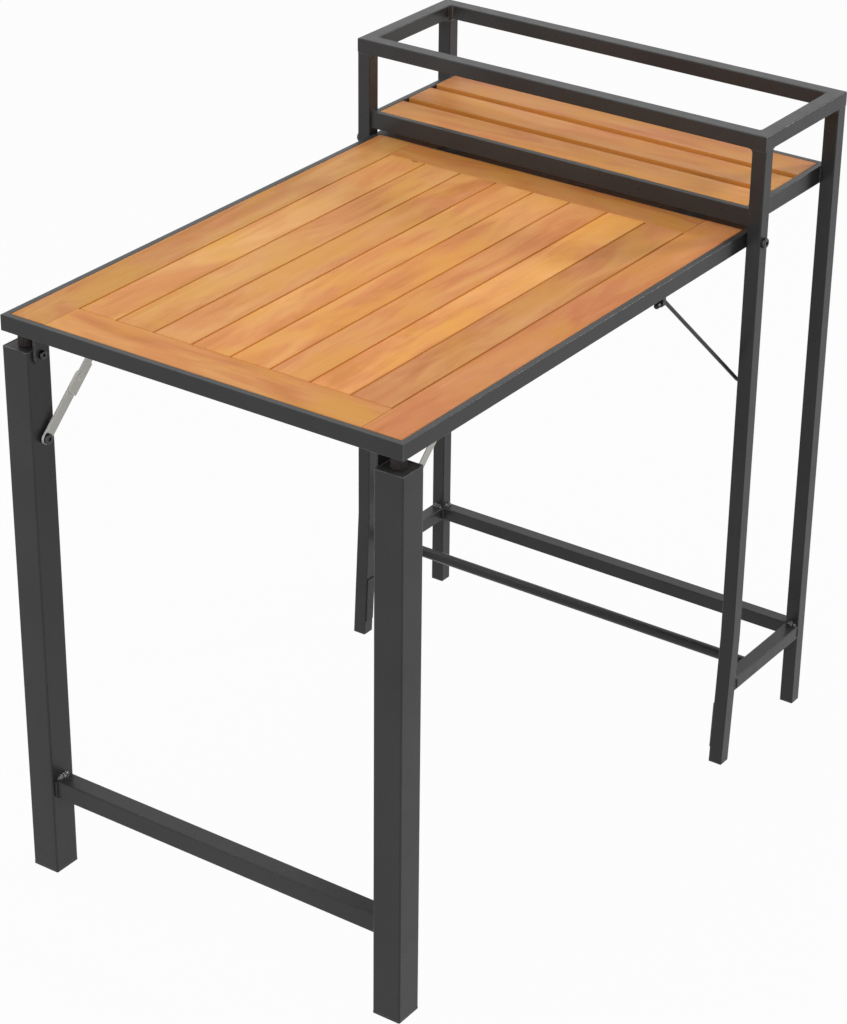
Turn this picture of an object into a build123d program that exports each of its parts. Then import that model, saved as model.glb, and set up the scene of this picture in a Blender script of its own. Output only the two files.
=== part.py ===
"""Folding balcony table with a plant rack, one solid per physical piece, in millimetres, +Z up."""
import math
import os

from build123d import *

# Overall sizes: the origin is on the floor, at the middle of the width and of the depth.
overall_depth = 909.0

# Rack of square tube that stands against the balcony wall.
rack_width = 600.0
rack_depth = 200.0
rack_height = 872.0
table_drop = 127.0
shelf_drop = 96.5
rack_tube = 19.0
rack_wall = 1.2
rack_edge = 1.5
kick_height = 185.0
kick_reach = 11.0
stretcher_height = 102.0
stop_bar_diameter = 15.0
stop_bar_setback = 74.0
foot_cap_thickness = 2.5
foot_plug_depth = 12.0
plug_fit = 0.3

# Shelf of three slats in a flat-bar frame near the top of the rack.
shelf_front_setback = 4.0
shelf_back_setback = 3.5
shelf_rail_height = 22.6
shelf_slat_count = 3
shelf_slat_width = 49.5
shelf_slat_thickness = 17.0
shelf_strap_distance = 360.0
strap_thickness = 3.0
shelf_strap_width = 28.0

# Flat rails round the shelf and the tabletop, with the wood flush with their top.
rail_width = 8.0
rail_height = 20.0
rail_wall = 1.2
rail_edge = 1.0
rear_bar_width = 6.3
rear_bar_edge = 0.3
wood_fit = 0.5
wood_edge = 0.8

# Tabletop that hangs on two hinge bolts between the front uprights.
hinge_gap = 2.0
board_thickness = 14.0
board_gap = 2.2
board_joint = 0.15
slat_end_gap = 0.6
slat_count = 8
side_board_width = 51.3
front_board_width = 55.7
rear_board_width = 49.7
seam_strap_width = 40.0
middle_strap_width = 30.0

# Hinge bolts through the front uprights.
hinge_bolt_diameter = 6.0
hinge_head_diameter = 13.0
hinge_head_height = 4.5
running_clearance = 0.07
collar_diameter = 12.0
collar_gap = 0.2

# Front legs on a cross rail.
leg_size = 38.0
leg_wall = 1.5
leg_edge = 2.0
leg_drop = 18.6
leg_pivot_back = 20.0
leg_pivot_drop = 7.4
cross_rail_size = 25.0
cross_rail_height = 107.0
cross_rail_setback = 6.5
top_cap_recess = 0.6
top_cap_thickness = 2.5

# Brackets, bolts and rubber buffers at the leg tops.
bracket_thickness = 2.6
bracket_base_thickness = 3.5
bracket_gap = 0.8
bracket_tab_radius = 12.0
bracket_depth = 33.5
pivot_bolt_diameter = 8.0
pivot_head_diameter = 10.5
pivot_head_height = 3.6
pivot_head_gap = 0.2
buffer_diameter = 18.0
buffer_neck_height = 0.6
buffer_rib_count = 18
buffer_rib_radius = 1.0
buffer_gap = 0.3
buffer_dome = 3.2
buffer_stud_diameter = 8.0
buffer_stud_depth = 10.0

# Folding stays between the tabletop and the legs.
stay_bolt_drop = 112.4
stay_lug_back = 148.7
stay_pivot_drop = 9.0
stay_lower_length = 81.7
stay_lower_width = 14.0
stay_lower_thickness = 3.0
stay_upper_width = 11.0
stay_upper_thickness = 1.2
stay_cover_width = 16.3
stay_cover_reach = 21.7
stay_cover_edge = 1.5
stay_washer = 3.3
stay_gap = 0.3
stay_lug_width = 14.0
stay_lug_base = 20.0
stay_lug_base_reach = 24.0
stay_lug_thickness = 2.5
stay_rivet_diameter = 5.0
stay_rivet_head = 8.0
stay_rivet_proud = 0.6
stay_bolt_diameter = 6.0
stay_bolt_head = 13.0
stay_bolt_head_height = 3.0
stay_bolt_gap = 0.2

# Brace rods that hook behind the front uprights.
rod_diameter = 5.0
rod_stub_length = 20.0
rod_stub_back = 516.0
rod_inset = 7.0
rod_drop = 9.7
rod_tip_drop = 173.4
rod_tip_reach = 8.4
rod_bend_radius = 5.0
rod_head_diameter = 6.8
rod_head_length = 7.0
rod_head_wall = 1.2
rod_lug_length = 6.0
rod_lug_setback = 4.0
rod_lug_wall = 1.6
catch_thickness = 2.8
catch_height = 18.0
catch_set_in = 7.0
catch_reach = 4.2
catch_gap = 0.4

# Pads on the inner faces of the front uprights, at the folded tabletop's front corners.
pad_low = 20.0
pad_high = 85.0
pad_thickness = 1.5
pad_width = 15.0

# Wood screws that hold the boards and the brackets from below.
screw_diameter = 3.8
screw_head_diameter = 7.0
screw_head_height = 1.8
screw_bite = 10.0

# Places that follow from the sizes above.
front = -overall_depth / 2
rack_back = overall_depth / 2
rack_front = rack_back - rack_depth
rack_half = rack_width / 2
rack_inner = rack_half - rack_tube
upright_rear_face = rack_front + rack_tube
hinge_y = rack_front + rack_tube / 2
table_height = rack_height - table_drop
shelf_height = rack_height - shelf_drop
hinge_z = table_height - rail_height / 2
table_half = rack_inner - hinge_gap
table_rear = hinge_y + rail_width
table_inner = table_half - rail_width
rail_bottom = table_height - rail_height
wood_bottom = table_height - board_thickness
leg_top = rail_bottom - leg_drop
leg_pivot_y = front + leg_pivot_back
leg_pivot_z = leg_top - leg_pivot_drop
leg_inner = table_half - leg_size
leg_middle = table_half - leg_size / 2
leg_centre_y = front + leg_size / 2
stay_bolt_z = leg_top - stay_bolt_drop
stay_lug_y = front + stay_lug_back
stay_lug_z = rail_bottom - stay_pivot_drop
stay_run = math.hypot(stay_lug_y - leg_centre_y, stay_lug_z - stay_bolt_z)
stay_dir_y = (stay_lug_y - leg_centre_y) / stay_run
stay_dir_z = (stay_lug_z - stay_bolt_z) / stay_run
stay_arm_outer = leg_inner - stay_washer
stay_arm_inner = stay_arm_outer - stay_lower_thickness
cover_outer = stay_arm_inner - stay_gap
cover_inner = cover_outer - stay_upper_thickness
bracket_outer = leg_inner - bracket_gap
bracket_inner = bracket_outer - bracket_thickness
rod_x = table_half - rod_inset
rod_z = rail_bottom - rod_drop
rod_radius = rod_diameter / 2
rod_bend_y = front + rod_stub_back + rod_stub_length
rod_tip_y = upright_rear_face - catch_set_in + catch_thickness + catch_gap + rod_radius
rod_tip_z = rod_z - rod_tip_drop
shelf_bottom = shelf_height - shelf_rail_height
shelf_front = rack_front + shelf_front_setback
shelf_back = rack_back - shelf_back_setback
slat_bottom = shelf_height - shelf_slat_thickness
front_edge = front + rail_width + wood_fit
rear_edge = table_rear - rail_width - wood_fit
first_seam = front_edge + front_board_width + slat_end_gap
last_seam = rear_edge - rear_board_width - slat_end_gap
wood_half = table_inner - wood_fit
slat_field = 2 * (wood_half - side_board_width - board_gap)
slat_width = (slat_field - (slat_count - 1) * board_gap) / slat_count


def block(x0, x1, y0, y1, z0, z1):
    """Box between two corners."""
    return Pos((x0 + x1) / 2, (y0 + y1) / 2, (z0 + z1) / 2) * Box(x1 - x0, y1 - y0, z1 - z0)


def bar_x(x0, x1, y, z, radius):
    """Round bar along X."""
    return Pos((x0 + x1) / 2, y, z) * Rot(0, 90, 0) * Cylinder(radius, x1 - x0)


def bar_y(x, y0, y1, z, radius):
    """Round bar along Y."""
    return Pos(x, (y0 + y1) / 2, z) * Rot(90, 0, 0) * Cylinder(radius, y1 - y0)


def bar_z(x, y, z0, z1, radius):
    """Round bar along Z."""
    return Pos(x, y, (z0 + z1) / 2) * Cylinder(radius, z1 - z0)


def left_of(part):
    """Mirror image on the left-hand side."""
    return mirror(part, about=Plane.YZ)


def tube_section(size, wall, edge):
    """Square tube section with rounded edges."""
    hollow = RectangleRounded(size - 2 * wall, size - 2 * wall, max(edge - wall, 0.3))
    return RectangleRounded(size, size, edge) - hollow


def mitred_rail(length, width, height, wall, edge):
    """Hollow rail along X with its outer face at y = 0, and both ends cut at 45 degrees."""
    half = length / 2
    plan = Polygon((-half, 0), (half, 0), (half - width, width), (width - half, width), align=None)
    rail = extrude(plan, height)
    rail = fillet(rail.edges().filter_by(Axis.X), edge)
    near = half - wall
    far = half - width + wall
    inside = Polygon((-near, wall), (near, wall), (far, width - wall), (-far, width - wall), align=None)
    return rail - Pos(0, 0, wall) * extrude(inside, height - 2 * wall)


def rail_frame(x_half, y0, y1, z0, width, height, wall, edge):
    """Four mitred rails round a rectangle: front, rear, left and right."""
    middle = (y0 + y1) / 2
    cross = mitred_rail(2 * x_half, width, height, wall, edge)
    side = mitred_rail(y1 - y0, width, height, wall, edge)
    front_rail = Pos(0, y0, z0) * cross
    rear_rail = Pos(0, y1, z0) * Rot(0, 0, 180) * cross
    left_rail = Pos(-x_half, middle, z0) * Rot(0, 0, -90) * side
    right_rail = Pos(x_half, middle, z0) * Rot(0, 0, 90) * side
    return front_rail, rear_rail, left_rail, right_rail


def kick_at(z):
    """How far the front upright has moved forward at a height."""
    return kick_reach * max(0.0, 1 - z / kick_height)


def hinge_hole(x0, x1, clearance):
    """Hole for a hinge bolt."""
    return bar_x(x0, x1, hinge_y, hinge_z, hinge_bolt_diameter / 2 + clearance)


def front_upright():
    """Front right upright, which leans forward below the kick."""
    x = rack_half - rack_tube / 2
    heights = (foot_cap_thickness, kick_height, rack_height - rack_tube)
    bore = rack_tube - 2 * rack_wall
    outside = []
    inside = []
    for z in heights:
        place = Pos(x, hinge_y - kick_at(z), z)
        outside.append(place * RectangleRounded(rack_tube, rack_tube, rack_edge))
        inside.append(place * RectangleRounded(bore, bore, max(rack_edge - rack_wall, 0.3)))
    tube = loft(outside, ruled=True) - loft(inside, ruled=True)
    return tube - hinge_hole(rack_inner - 1, rack_half + 1, 0)


def rear_upright():
    """Rear right upright."""
    length = rack_height - rack_tube - foot_cap_thickness
    place = Pos(rack_half - rack_tube / 2, rack_back - rack_tube / 2, foot_cap_thickness)
    return place * extrude(tube_section(rack_tube, rack_wall, rack_edge), length)


def foot_cap(x, y, size, wall, lean):
    """Plug with a flange under a tube; lean is its shift per millimetre of height."""
    flange = []
    for z in (0, foot_cap_thickness):
        flange.append(Pos(x, y - lean * (foot_cap_thickness - z), z) * RectangleRounded(size, size, rack_edge))
    plug_size = size - 2 * wall - 2 * plug_fit
    plug = []
    for z in (foot_cap_thickness, foot_cap_thickness + foot_plug_depth):
        plug.append(Pos(x, y + lean * (z - foot_cap_thickness), z) * Rectangle(plug_size, plug_size))
    return loft(flange, ruled=True) + loft(plug, ruled=True)


def side_stretcher():
    """Right stretcher from the leaning front upright to the rear upright."""
    low = stretcher_height
    high = stretcher_height + rack_tube
    rear = rack_back - rack_tube
    profile = Plane.YZ * Polygon(
        (upright_rear_face - kick_at(low), low),
        (rear, low),
        (rear, high),
        (upright_rear_face - kick_at(high), high),
        align=None,
    )
    bar = Pos(rack_inner, 0, 0) * extrude(profile, rack_tube)
    bar = fillet(bar.edges().filter_by(Axis.Y), rack_edge)
    start = upright_rear_face - kick_reach - 5
    hollow = block(
        rack_inner + rack_wall,
        rack_half - rack_wall,
        start,
        rear + 5,
        low + rack_wall,
        high - rack_wall,
    )
    return bar - hollow


def rear_stretcher():
    """Stretcher between the rear uprights."""
    tube = extrude(tube_section(rack_tube, rack_wall, rack_edge), 2 * rack_inner)
    z = stretcher_height + rack_tube / 2
    return Pos(-rack_inner, rack_back - rack_tube / 2, z) * Rot(0, 90, 0) * tube


def stop_bar():
    """Round bar between the side stretchers that the folded legs lean on."""
    y = rack_front + stop_bar_setback
    z = stretcher_height + stop_bar_diameter / 2
    radius = stop_bar_diameter / 2
    bar = bar_x(-rack_inner, rack_inner, y, z, radius)
    return bar - bar_x(-rack_inner - 1, rack_inner + 1, y, z, radius - rack_wall)


def guide_pad():
    """Pad on the inner face of the right front upright, following its lean."""
    half = pad_width / 2
    profile = Plane.YZ * Polygon(
        (hinge_y - kick_at(pad_low) - half, pad_low),
        (hinge_y - kick_at(pad_low) + half, pad_low),
        (hinge_y - kick_at(pad_high) + half, pad_high),
        (hinge_y - kick_at(pad_high) - half, pad_high),
        align=None,
    )
    return Pos(rack_inner - pad_thickness, 0, 0) * extrude(profile, pad_thickness)


def socket_bolt(head_x, head_radius, head_height, shank_end, radius, y, z):
    """Button-head bolt on the right-hand side whose shank runs from head_x to shank_end."""
    outward = 1 if head_x > shank_end else -1
    tip = head_x + outward * head_height
    head = bar_x(min(head_x, tip), max(head_x, tip), y, z, head_radius)
    crown = head.faces().sort_by(Axis.X)[-1 if outward > 0 else 0]
    head = fillet(crown.edges(), head_height * 0.4)
    recess = Pos(tip, y, z) * Rot(0, 90 * outward, 0) * extrude(RegularPolygon(head_radius * 0.42, 6), -head_height / 2)
    shank = bar_x(min(head_x, shank_end), max(head_x, shank_end), y, z, radius)
    return head - recess + shank


def hinge_bolt():
    """Bolt through the right front upright and the tabletop's side rail."""
    end = table_inner + 0.3
    radius = hinge_bolt_diameter / 2
    return socket_bolt(rack_half, hinge_head_diameter / 2, hinge_head_height, end, radius, hinge_y, hinge_z)


def hinge_collar():
    """Spacer between the right front upright and the tabletop."""
    ring = bar_x(table_half + collar_gap, rack_inner, hinge_y, hinge_z, collar_diameter / 2)
    return ring - hinge_hole(table_half - 1, rack_inner + 1, 0)


def rod_catch():
    """Tab welded to the inner face of the right front upright, in front of the brace rod's tip."""
    catch_front = upright_rear_face - catch_set_in
    low = rod_tip_z - catch_height / 2
    high = rod_tip_z + catch_height / 2
    plate = block(rack_inner - catch_reach, rack_inner, catch_front, catch_front + catch_thickness, low, high)
    return fillet(plate.edges().filter_by(Axis.Y).group_by(Axis.X)[0], 1.5)


def screw(x, y, seat):
    """Pan-head wood screw driven up from below, with the head under the seat."""
    head = bar_z(x, y, seat - screw_head_height, seat, screw_head_diameter / 2)
    head = fillet(head.edges().group_by(Axis.Z)[0], screw_head_height * 0.5)
    return head


def screw_shank(x, y, seat, top):
    """Shank of a screw from its seat to its tip, which is also the shape of its hole."""
    return bar_z(x, y, seat, top, screw_diameter / 2)


def board(x0, x1, y0, y1, z0, z1):
    """Wooden board with eased edges."""
    return fillet(block(x0, x1, y0, y1, z0, z1).edges(), wood_edge)


def frame_board(x0, x1, y0, y1, along):
    """Board of the tabletop's border, eased along its length and square at its ends."""
    plank = block(x0, x1, y0, y1, wood_bottom, table_height)
    return fillet(plank.edges().group_by(Axis.Z)[-1].filter_by(along), wood_edge)


def shelf_slat_edges(index):
    """Front and rear edge of a shelf slat."""
    start = shelf_front + rail_width + wood_fit
    end = shelf_back - rail_width - wood_fit
    step = (end - start - shelf_slat_width) / (shelf_slat_count - 1)
    return start + index * step, start + index * step + shelf_slat_width


def shelf_screw_points():
    """Places of the screws under the shelf."""
    points = []
    for side in (-1, 1):
        for index in range(shelf_slat_count):
            low, high = shelf_slat_edges(index)
            points.append((side * shelf_strap_distance / 2, (low + high) / 2))
    return points


def table_strap_spans():
    """Front and rear edge of each strap under the tabletop."""
    seam_a = first_seam - slat_end_gap / 2
    seam_b = last_seam + slat_end_gap / 2
    middle = (seam_a + seam_b) / 2
    half = seam_strap_width / 2
    centre = middle_strap_width / 2
    return (seam_a - half, seam_a + half), (middle - centre, middle + centre), (seam_b - half, seam_b + half)


def slat_span(index):
    """Left and right edge of a tabletop slat."""
    left = -slat_field / 2 + index * (slat_width + board_gap)
    return left, left + slat_width


def table_screw_points():
    """Places of the screws through the straps into the boards."""
    spans = table_strap_spans()
    quarter = seam_strap_width / 4
    rows = (spans[0][1] - quarter, (spans[1][0] + spans[1][1]) / 2, spans[2][0] + quarter)
    points = []
    for row in rows:
        for index in range(slat_count):
            low, high = slat_span(index)
            points.append(((low + high) / 2, row))
        for side in (-1, 1):
            points.append((side * (table_inner - wood_fit - side_board_width / 2), row))
    for row in (spans[0][0] + quarter, spans[2][1] - quarter):
        for step in (-2, -1, 0, 1, 2):
            points.append((step * slat_field / 5, row))
    return points


def bracket_screw_points():
    """Places of the screws that hold the right leg bracket and the right stay lug."""
    reach = bracket_outer - bracket_inner
    row = front + rail_width + wood_fit + bracket_depth - screw_head_diameter * 0.8
    plate = (bracket_inner + reach + screw_head_diameter, table_inner - screw_head_diameter * 1.2)
    lug = stay_arm_inner + stay_lug_base_reach - screw_head_diameter
    points = [(plate[0], row, bracket_base_thickness), (plate[1], row, bracket_base_thickness)]
    for side in (-1, 1):
        points.append((lug, stay_lug_y + side * (stay_lug_base / 2 - screw_head_diameter * 0.6), stay_lug_thickness))
    return points


def drilled(wood, top):
    """Board with the holes of the screws that enter it from below."""
    holes = []
    box = wood.bounding_box()
    for x, y in table_screw_points():
        if box.min.X < x < box.max.X and box.min.Y < y < box.max.Y:
            holes.append(screw_shank(x, y, wood_bottom - 1, top))
    for x, y, seat in bracket_screw_points():
        for side in (-1, 1):
            if box.min.X < side * x < box.max.X and box.min.Y < y < box.max.Y:
                holes.append(screw_shank(side * x, y, wood_bottom - 1, top))
    for hole in holes:
        wood -= hole
    return wood


def leg():
    """Right front leg with the holes for its pivot bolt, stay bolt and the cross rail's weld."""
    length = leg_top - foot_cap_thickness
    place = Pos(leg_middle, leg_centre_y, foot_cap_thickness)
    tube = place * extrude(tube_section(leg_size, leg_wall, leg_edge), length)
    tube -= bar_x(leg_inner - 1, leg_inner + leg_wall + 1, leg_pivot_y, leg_pivot_z, pivot_bolt_diameter / 2)
    return tube - bar_x(leg_inner - 1, leg_inner + leg_wall + 1, leg_centre_y, stay_bolt_z, stay_bolt_diameter / 2)


def cross_rail():
    """Square tube between the legs."""
    tube = extrude(tube_section(cross_rail_size, leg_wall, leg_edge), 2 * leg_inner)
    y = front + cross_rail_setback + cross_rail_size / 2
    return Pos(-leg_inner, y, cross_rail_height + cross_rail_size / 2) * Rot(0, 90, 0) * tube


def leg_top_cap():
    """Plate in the top of the right leg that carries the buffer."""
    size = leg_size - 2 * leg_wall - 2 * plug_fit
    top = leg_top - top_cap_recess
    plate = Pos(leg_middle, leg_centre_y, top - top_cap_thickness) * extrude(Rectangle(size, size), top_cap_thickness)
    return plate - bar_z(leg_middle, leg_centre_y, top - 10, top + 1, buffer_stud_diameter / 2)


def leg_buffer():
    """Ribbed rubber buffer on the right leg, just under the bracket's base."""
    seat = leg_top - top_cap_recess
    crown = wood_bottom - bracket_base_thickness - buffer_gap
    shoulder = crown - buffer_dome
    radius = buffer_diameter / 2
    low = seat + buffer_neck_height
    disc = bar_z(0, 0, low, shoulder, radius)
    for turn in range(buffer_rib_count):
        angle = 2 * math.pi * turn / buffer_rib_count
        reach = radius + buffer_rib_radius * 0.35
        x = reach * math.cos(angle)
        y = reach * math.sin(angle)
        disc -= bar_z(x, y, low - 1, shoulder + 1, buffer_rib_radius)
    base = radius - buffer_rib_radius
    ball = (base * base + buffer_dome * buffer_dome) / (2 * buffer_dome)
    cap = Pos(0, 0, crown - ball) * Sphere(ball) & block(-radius, radius, -radius, radius, shoulder, crown + 1)
    neck = bar_z(0, 0, seat, low, radius * 0.55)
    stud = bar_z(0, 0, seat - buffer_stud_depth, seat, buffer_stud_diameter / 2)
    return Pos(leg_middle, leg_centre_y, 0) * (disc + cap + neck + stud)


def pivot_bolt():
    """Bolt on the right leg that turns in the bracket."""
    start = bracket_inner - pivot_head_gap
    end = leg_inner + leg_wall + 12
    radius = pivot_bolt_diameter / 2
    bolt = socket_bolt(start, pivot_head_diameter / 2, pivot_head_height, end, radius, leg_pivot_y, leg_pivot_z)
    return bolt + bar_x(bracket_outer + pivot_head_gap, leg_inner, leg_pivot_y, leg_pivot_z, radius * 1.7)


def leg_bracket():
    """Bracket under the boards whose tab carries the right leg."""
    base_low = wood_bottom - bracket_base_thickness
    y0 = front + rail_width + wood_fit
    base = block(bracket_inner, table_inner - 1, y0, y0 + bracket_depth, base_low, wood_bottom)
    middle = leg_pivot_y
    arm = block(bracket_inner, bracket_outer, y0, middle + bracket_tab_radius, leg_pivot_z, wood_bottom)
    eye = bar_x(bracket_inner, bracket_outer, middle, leg_pivot_z, min(bracket_tab_radius, middle - y0))
    lobe = bar_x(bracket_inner, bracket_outer, middle, leg_pivot_z, bracket_tab_radius)
    lobe &= block(bracket_inner - 1, bracket_outer + 1, y0, middle + 2 * bracket_tab_radius, leg_pivot_z - 2 * bracket_tab_radius, wood_bottom)
    hole = pivot_bolt_diameter / 2 + running_clearance
    part = base + arm + eye + lobe - bar_x(bracket_inner - 1, bracket_outer + 1, middle, leg_pivot_z, hole)
    for x, y, seat in bracket_screw_points():
        if seat == bracket_base_thickness:
            part -= screw_shank(x, y, base_low - 1, wood_bottom + 1)
    return part


def stay_lug():
    """Lug under the boards that carries the right stay's upper arm."""
    base_low = wood_bottom - stay_lug_thickness
    y0 = stay_lug_y - stay_lug_base / 2
    base = block(stay_arm_inner, stay_arm_inner + stay_lug_base_reach, y0, y0 + stay_lug_base, base_low, wood_bottom)
    half = stay_lug_width / 2
    tab = block(stay_arm_inner, stay_arm_outer, stay_lug_y - half, stay_lug_y + half, stay_lug_z, wood_bottom)
    eye = bar_x(stay_arm_inner, stay_arm_outer, stay_lug_y, stay_lug_z, half)
    hole = stay_rivet_diameter / 2 + running_clearance
    part = base + tab + eye - bar_x(stay_arm_inner - 1, stay_arm_outer + 1, stay_lug_y, stay_lug_z, hole)
    for x, y, seat in bracket_screw_points():
        if seat == stay_lug_thickness:
            part -= screw_shank(x, y, base_low - 1, wood_bottom + 1)
    return part


def stay_plane(x, y, z):
    """Sketch plane square to X whose x direction runs up along the stay."""
    return Plane(origin=(x, y, z), x_dir=(0, stay_dir_y, stay_dir_z), z_dir=(1, 0, 0))


def stay_lower():
    """Flat lower arm of the right stay, from the leg to the elbow."""
    plane = stay_plane(stay_arm_inner, leg_centre_y, stay_bolt_z)
    shape = Pos(stay_lower_length / 2, 0) * SlotCenterToCenter(stay_lower_length, stay_lower_width)
    shape -= Circle(stay_bolt_diameter / 2 + running_clearance)
    shape -= Pos(stay_lower_length, 0) * Circle(stay_rivet_diameter / 2)
    return extrude(plane * shape, stay_lower_thickness)


def stay_upper():
    """Upper arm of the right stay: a strip that widens to a cover over the elbow, with its two rivets."""
    plane = stay_plane(cover_inner, leg_centre_y, stay_bolt_z)
    reach = stay_run - stay_lower_length
    strip = Pos(stay_lower_length + reach / 2, 0) * SlotCenterToCenter(reach, stay_upper_width)
    cover = Pos(stay_lower_length, 0) * RectangleRounded(2 * stay_cover_reach, stay_cover_width, stay_cover_edge)
    arm = extrude(plane * (strip + cover), stay_upper_thickness)
    radius = stay_rivet_diameter / 2
    head = stay_rivet_head / 2
    head_inner = cover_inner - stay_rivet_proud
    back = stay_arm_outer + stay_gap / 2
    arm += bar_x(cover_inner, back, stay_lug_y, stay_lug_z, radius)
    arm += bar_x(head_inner, cover_inner, stay_lug_y, stay_lug_z, head)
    arm += bar_x(back, back + stay_rivet_proud, stay_lug_y, stay_lug_z, head)
    elbow_y = leg_centre_y + stay_lower_length * stay_dir_y
    elbow_z = stay_bolt_z + stay_lower_length * stay_dir_z
    return arm + bar_x(head_inner, cover_inner, elbow_y, elbow_z, head)


def stay_bolt():
    """Bolt on the right leg that the stay's lower arm turns on, with a spacer behind the arm."""
    start = stay_arm_inner - stay_bolt_gap
    end = leg_inner + leg_wall + 8
    radius = stay_bolt_diameter / 2
    head = stay_bolt_head / 2
    bolt = socket_bolt(start, head, stay_bolt_head_height, end, radius, leg_centre_y, stay_bolt_z)
    return bolt + bar_x(stay_arm_outer + stay_bolt_gap / 2, leg_inner, leg_centre_y, stay_bolt_z, radius * 2)


def bend_arc(before, corner, after, radius):
    """Arc that rounds a corner between two straight runs."""
    come = (corner - before).normalized()
    go = (after - corner).normalized()
    half = come.get_angle(go) * math.pi / 360
    inward = (go - come).normalized()
    centre = corner + inward * (radius / math.cos(half))
    reach = radius * math.tan(half)
    return ThreePointArc(corner - come * reach, centre - inward * radius, corner + go * reach)


def brace_rod():
    """Right brace rod: a stub in its lug, a long slope, and a tip bent outward."""
    start = Vector(rod_x, front + rod_stub_back, rod_z)
    bend = Vector(rod_x, rod_bend_y, rod_z)
    corner = Vector(rod_x, rod_tip_y, rod_tip_z)
    tip = Vector(rod_x + rod_tip_reach, rod_tip_y, rod_tip_z)
    upper = bend_arc(start, bend, corner, rod_bend_radius)
    lower = bend_arc(bend, corner, tip, rod_bend_radius)
    runs = [Line(start, upper @ 0), upper, Line(upper @ 1, lower @ 0), lower, Line(lower @ 1, tip)]
    path = Wire(runs)
    rod = sweep(Plane(origin=start, z_dir=(0, 1, 0)) * Circle(rod_radius), path=path)
    sleeve = bar_y(rod_x, start.Y - rod_head_wall, start.Y + rod_head_length, rod_z, rod_head_diameter / 2)
    sleeve = fillet(sleeve.edges().group_by(Axis.Y)[0], rod_head_diameter / 2 - 0.4)
    return rod + sleeve


def rod_lug():
    """Lug under the right side rail that the brace rod's stub turns in."""
    y1 = rod_bend_y - rod_lug_setback
    y0 = y1 - rod_lug_length
    bore = rod_radius + running_clearance
    outer = bore + rod_lug_wall
    lug = block(rod_x - outer, rod_x + outer, y0, y1, rod_z, rail_bottom)
    lug += bar_y(rod_x, y0, y1, rod_z, outer)
    return lug - bar_y(rod_x, y0 - 1, y1 + 1, rod_z, bore)


def both_sides(part):
    """A right-hand piece together with its mirror image."""
    return [part, left_of(part)]


parts = {}

upright = front_upright()
parts["upright_front_right"] = upright
parts["upright_front_left"] = left_of(upright)
parts["upright_rear_right"] = rear_upright()
parts["upright_rear_left"] = left_of(rear_upright())
ring = rail_frame(
    rack_half, rack_front, rack_back, rack_height - rack_tube, rack_tube, rack_tube, rack_wall, rack_edge
)
for name, rail in zip(("front", "rear", "left", "right"), ring):
    parts[f"rack_top_{name}"] = rail
parts["stretcher_right"] = side_stretcher()
parts["stretcher_left"] = left_of(side_stretcher())
parts["stretcher_rear"] = rear_stretcher()
parts["stop_bar"] = stop_bar()
parts["guide_pads"] = both_sides(guide_pad())
lean = kick_reach / kick_height
front_cap = foot_cap(
    rack_half - rack_tube / 2, hinge_y - kick_at(foot_cap_thickness), rack_tube, rack_wall, lean
)
rear_cap = foot_cap(rack_half - rack_tube / 2, rack_back - rack_tube / 2, rack_tube, rack_wall, 0)
parts["rack_foot_caps"] = both_sides(front_cap) + both_sides(rear_cap)
parts["hinge_bolts"] = both_sides(hinge_bolt())
parts["hinge_collars"] = both_sides(hinge_collar())
parts["rod_catches"] = both_sides(rod_catch())

shelf = rail_frame(
    rack_inner, shelf_front, shelf_back, shelf_bottom, rail_width, shelf_rail_height, rail_wall, rail_edge
)
for name, rail in zip(("front", "rear", "left", "right"), shelf):
    parts[f"shelf_rail_{name}"] = rail
slat_half = rack_inner - rail_width - wood_fit
for index, name in enumerate(("front", "middle", "rear")):
    low, high = shelf_slat_edges(index)
    slat = board(-slat_half, slat_half, low, high, slat_bottom, shelf_height)
    for x, y in shelf_screw_points():
        if low < y < high:
            slat -= screw_shank(x, y, slat_bottom - 1, slat_bottom + screw_bite)
    parts[f"shelf_slat_{name}"] = slat
straps = []
for side in (-1, 1):
    x0 = side * shelf_strap_distance / 2 - shelf_strap_width / 2
    strap = block(
        x0,
        x0 + shelf_strap_width,
        shelf_front + rail_width,
        shelf_back - rail_width,
        slat_bottom - strap_thickness,
        slat_bottom,
    )
    for x, y in shelf_screw_points():
        if x0 < x < x0 + shelf_strap_width:
            strap -= screw_shank(x, y, slat_bottom - strap_thickness - 1, slat_bottom + 1)
    straps.append(strap)
parts["shelf_straps"] = straps
fixings = []
for x, y in shelf_screw_points():
    seat = slat_bottom - strap_thickness
    fixings.append(screw(x, y, seat) + screw_shank(x, y, seat, slat_bottom + screw_bite))
parts["shelf_screws"] = fixings

frame = rail_frame(table_half, front, table_rear, rail_bottom, rail_width, rail_height, rail_wall, rail_edge)
bore = hinge_hole(table_inner - 3, table_half + 1, running_clearance)
bores = bore + left_of(bore)
for name, rail in zip(("front", "rear", "left", "right"), frame):
    parts[f"table_rail_{name}"] = rail if name == "front" else rail - bores
rear_bar = block(-table_half, table_half, table_rear, table_rear + rear_bar_width, rail_bottom, table_height)
rear_bar = fillet(rear_bar.edges().filter_by(Axis.X), rear_bar_edge)
parts["table_rail_rear"] = [parts["table_rail_rear"], rear_bar]
bite = wood_bottom + screw_bite
border_x = wood_half - side_board_width
end_x = border_x - board_joint
front_board = frame_board(-end_x, end_x, front_edge, front_edge + front_board_width, Axis.X)
rear_board = frame_board(-end_x, end_x, rear_edge - rear_board_width, rear_edge, Axis.X)
side_board = frame_board(border_x, wood_half, front_edge, rear_edge, Axis.Y)
parts["frame_board_front"] = drilled(front_board, bite)
parts["frame_board_rear"] = drilled(rear_board, bite)
parts["frame_board_right"] = drilled(side_board, bite)
parts["frame_board_left"] = left_of(parts["frame_board_right"])
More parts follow.
